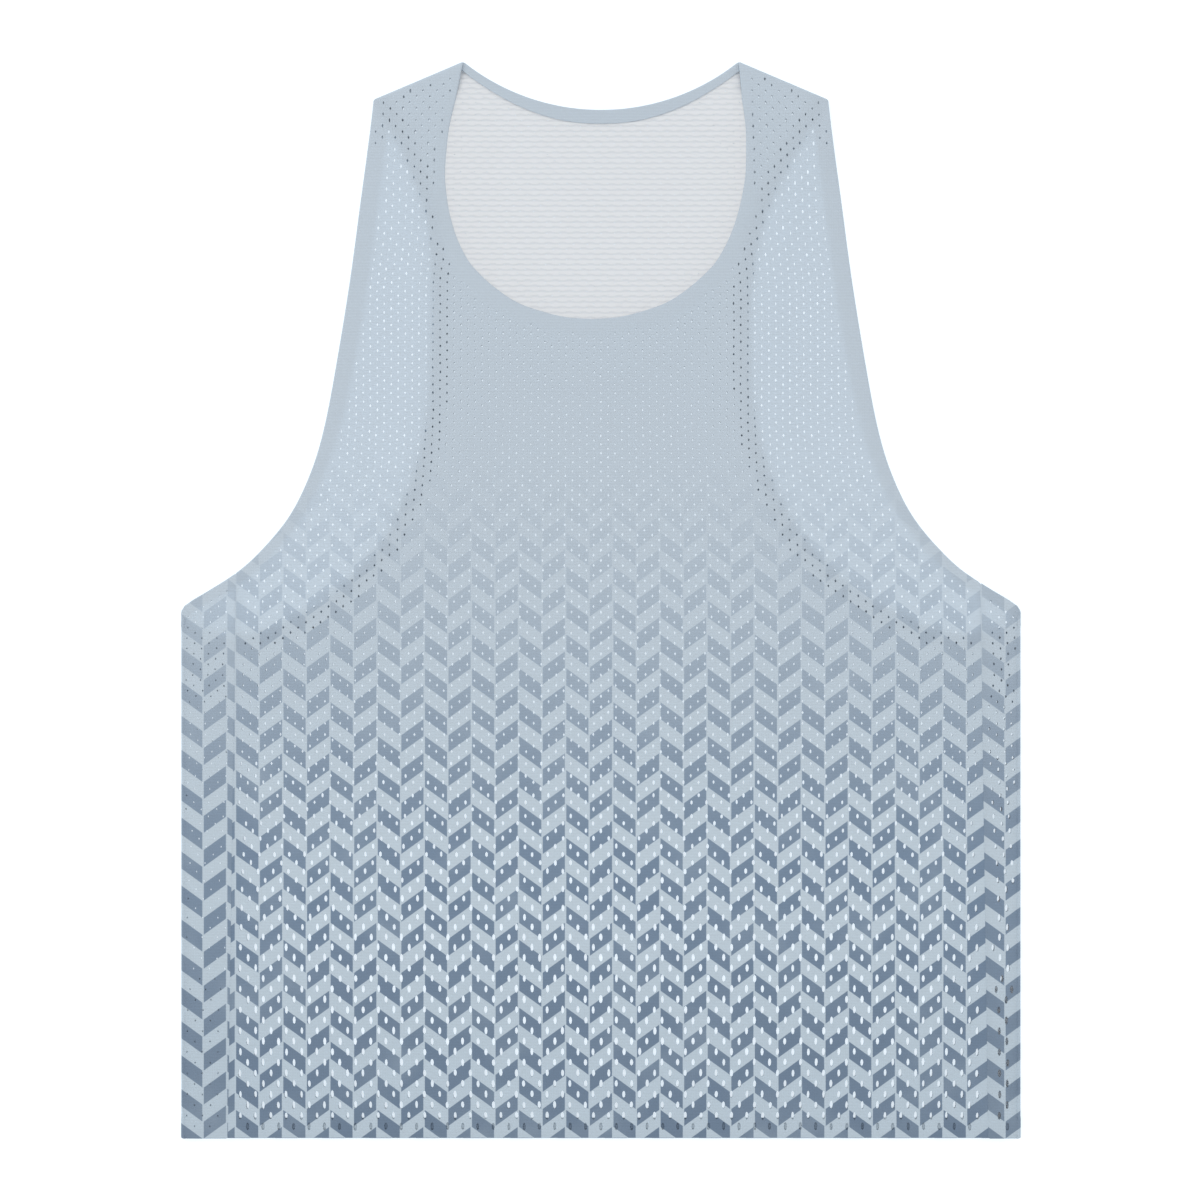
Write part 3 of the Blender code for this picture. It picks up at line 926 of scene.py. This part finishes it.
def printed(nodes, axes, phase):
    """Where a broken herringbone has its bars, and how it fades in from the chest to the hem."""
    column = nodes.math("MULTIPLY_ADD", axes["X"], 1 / PRINT_COLUMN, FIRST_COLUMN + phase)
    parity = nodes.math("MODULO", nodes.math("FLOOR", column), 2.0)
    across = nodes.math("SUBTRACT", nodes.math("FRACT", column), 0.5)
    sign = nodes.math("MULTIPLY_ADD", parity, 2.0, -1.0)
    lean = nodes.math("MULTIPLY", nodes.math("MULTIPLY", across, sign), PRINT_SLANT)
    rise = nodes.math("MULTIPLY_ADD", axes["Y"], 1 / PRINT_REPEAT, lean)
    rise = nodes.math("MULTIPLY_ADD", parity, 0.5, nodes.math("ADD", rise, FIRST_BAR + phase))
    folded = nodes.math("ABSOLUTE", nodes.math("SUBTRACT", nodes.math("FRACT", rise), 0.5))
    bar = nodes.step(folded, PRINT_BAR - PRINT_SOFT, PRINT_BAR + PRINT_SOFT)
    edge = nodes.math("SUBTRACT", 0.5, nodes.math("ABSOLUTE", across))
    bar = nodes.math("MULTIPLY", bar, nodes.step(edge, COLUMN_LINE, 2 * COLUMN_LINE))
    fade = nodes.step(axes["Y"], *PRINT_LEVELS)
    return bar, fade


def cloth_shader(nodes, colour, height, roughness, bump, through):
    """Matt cloth that lets part of the light through."""
    raised = {"Height": height, "Distance": bump, "Strength": BUMP_STRENGTH}
    normal = nodes.add("ShaderNodeBump", raised).outputs[0]
    face = nodes.add("ShaderNodeBsdfPrincipled", {
        "Base Color": colour, "Normal": normal, "Roughness": roughness,
        "Specular IOR Level": SPECULAR, "Sheen Weight": SHEEN,
        "Sheen Roughness": SHEEN_ROUGHNESS,
    })
    behind = nodes.add("ShaderNodeBsdfTranslucent", {"Color": colour, "Normal": normal})
    both = nodes.add("ShaderNodeMixShader", {0: through, 1: face.outputs[0], 2: behind.outputs[0]})
    nodes.add("ShaderNodeOutputMaterial", {"Surface": both.outputs[0]})
    return nodes.material


def outer_cloth(name, phase, strength, tone):
    """The outer side: fine ribs with painted shade in their grooves, pale blue, with the print
    below the chest, and painted shade over the back's armhole bands.
    """
    nodes = Nodes(name)
    axes, place = position(nodes)
    bar, fade = printed(nodes, axes, phase)
    noise = {"Vector": place, "Scale": INK_SCALE, "Detail": INK_DETAIL}
    cloud = nodes.add("ShaderNodeTexNoise", noise).outputs[0]
    low = nodes.step(axes["Y"], *HEM_LEVELS)
    base = nodes.mix(low, nodes.mix(fade, PALE, PALE_LOW), PALE_HEM)
    ink = nodes.math("MULTIPLY", nodes.math("MULTIPLY", bar, strength), fade)
    ink = nodes.math("MULTIPLY", ink, nodes.step(cloud, *INK_CLOUD))
    slate = nodes.mix(low, SLATE, SLATE_LOW)
    colour = nodes.mix(ink, base, slate)
    ribs = wave(nodes, axes["Y"], RIB)
    stitches = wave(nodes, axes["X"], WALE)
    height = nodes.math("MULTIPLY_ADD", stitches, WALE_HEIGHT, ribs)
    # Painted shade: the ribs' grooves are darker than their crests.
    shade = nodes.math("MULTIPLY_ADD", ribs, RIB_PAINTED_SHADE_SPAN * tone, GROOVE_PAINTED_SHADE * tone)
    # Painted shade: the colour is darker where the back's armhole bands lie under the front.
    below = nodes.add("ShaderNodeAttribute", attribute_name=PAINTED_SHADE_ATTRIBUTE).outputs["Fac"]
    shade = nodes.math("MULTIPLY", shade, nodes.math("MULTIPLY_ADD", below, -PAINTED_SHADE_DEPTH, 1.0))
    darker = nodes.add("ShaderNodeVectorMath", {0: colour, "Scale": shade}, operation="SCALE")
    return cloth_shader(nodes, darker.outputs[0], height, *OUTER_FINISH)


def inner_cloth(name):
    """The inner side: off-white, with wavy ridges across, each second one waving the other way."""
    nodes = Nodes(name)
    axes = position(nodes)[0]
    turned = nodes.math("MULTIPLY", axes["X"], 2 * math.pi / INNER_SWAY)
    flipped = nodes.math("COSINE", nodes.math("MULTIPLY", axes["Y"], math.pi / INNER_RIDGE))
    sway = nodes.math("MULTIPLY", nodes.math("SINE", turned), flipped)
    sway = nodes.math("MULTIPLY", sway, INNER_WAVE)
    ridge = wave(nodes, nodes.math("ADD", axes["Y"], sway), INNER_RIDGE)
    ridge = nodes.step(ridge, 0.0, INNER_WIDTH)
    colour = nodes.mix(ridge, INNER_GROOVE, INNER)
    return cloth_shader(nodes, colour, ridge, *INNER_FINISH)


def floor_material():
    """A plain white table, faintly lit from below."""
    nodes = Nodes("floor_white")
    face = nodes.add("ShaderNodeBsdfPrincipled", {
        "Base Color": (*FLOOR_WHITE, 1.0), "Roughness": 1.0, "Specular IOR Level": 0.0,
        "Emission Color": FLOOR_GLOW, "Emission Strength": FLOOR_LIGHT,
    })
    nodes.add("ShaderNodeOutputMaterial", {"Surface": face.outputs[0]})
    return nodes.material


# ---- Stage ----

# The camera looks straight down. VIEW_WIDTH is what the photograph spans at the floor.
CAMERA_HEIGHT = 3.0
VIEW_WIDTH = 0.7644
VIEW_CENTRE = (-0.0006, 0.0)
SENSOR = 36.0
CLIP_END = 50.0

# The table glows faintly, so that it is white all over and shines through the holes.
FLOOR_SIZE = 12.0
FLOOR_DROP = 0.00005
FLOOR_WHITE = (0.42, 0.42, 0.42)
FLOOR_GLOW = srgb(220, 231, 240)
FLOOR_LIGHT = 0.90

# A white sky, and one large soft lamp from the upper left.
SKY_LIGHT = 1.0
KEY_LIGHT = 14.0
KEY_SIZE = (2.2, 1.6)
KEY_PLACE = (-1.3, 1.6, 2.0)


def add_stage():
    """The floor, the light and the camera."""
    half = FLOOR_SIZE / 2
    corners = [(-half, -half, -FLOOR_DROP), (half, -half, -FLOOR_DROP)]
    corners += [(half, half, -FLOOR_DROP), (-half, half, -FLOOR_DROP)]
    floor = make_object("floor", corners, [(0, 1, 2, 3)], [0], [floor_material()])

    world = bpy.data.worlds.new("studio")
    world.use_nodes = True
    bpy.context.scene.world = world
    sky = world.node_tree.nodes["Background"].inputs
    sky["Color"].default_value = (1, 1, 1, 1)
    sky["Strength"].default_value = SKY_LIGHT

    lamp = bpy.data.lights.new("key", "AREA")
    lamp.energy = KEY_LIGHT
    lamp.shape = "RECTANGLE"
    lamp.size, lamp.size_y = KEY_SIZE
    key = bpy.data.objects.new("key", lamp)
    key.location = KEY_PLACE
    key.rotation_euler = (-key.location).to_track_quat("-Z", "Y").to_euler()
    bpy.context.scene.collection.objects.link(key)

    lens = bpy.data.cameras.new("camera")
    lens.sensor_width = SENSOR
    lens.lens = SENSOR * CAMERA_HEIGHT / VIEW_WIDTH
    lens.clip_end = CLIP_END
    camera = bpy.data.objects.new("camera", lens)
    camera.location = (*VIEW_CENTRE, CAMERA_HEIGHT)
    bpy.context.scene.collection.objects.link(camera)
    bpy.context.scene.camera = camera
    bpy.context.scene.view_settings.view_transform = "Standard"


# ---- The garment ----


def dress(panel, outer, inner):
    """Adds a panel with its bands and allowances, each riding in place of its CAD node."""
    cloth = add_panel(panel, [outer, inner])
    pieces = {f"{panel.name}_panel": cloth, **add_bands(panel, [outer])}
    pieces.update(add_allowances(panel, [outer]))
    for node, piece in pieces.items():
        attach(piece, "root")
        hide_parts(node)
    edge = outline_of(panel).edge
    return cloth


def main():
    """Builds the garment and its stage."""
    front_face = outer_face("front_panel", max)
    back_face = outer_face("back_panel", min)
    height = height_field(front_face, back_face)
    front_runs = named_runs([vert.co.xy for vert in rim(front_face)])
    back_runs = recut(named_runs([unfolded(vert) for vert in rim(back_face)]))
    front_place = placer_front(height, front_runs)
    back_place = placer_back(height)
    front = Panel("front", front_runs, front_place, 1, FRONT_HOLE_SHARES, FRONT_CLOTH, 0.0, None)
    loft = BACK_LOFT - CLOTH
    back = Panel("back", back_runs, back_place, -1, BACK_HOLE_SHARES, CLOTH, loft, front)
    inner = inner_cloth("knit_inner")
    outer = outer_cloth("knit_front", *FRONT_PRINT)
    cloth = dress(front, outer, inner)
    paint_band_shade(cloth, back)
    outer = outer_cloth("knit_back", *BACK_PRINT)
    dress(back, outer, inner)
    add_stage()


main()
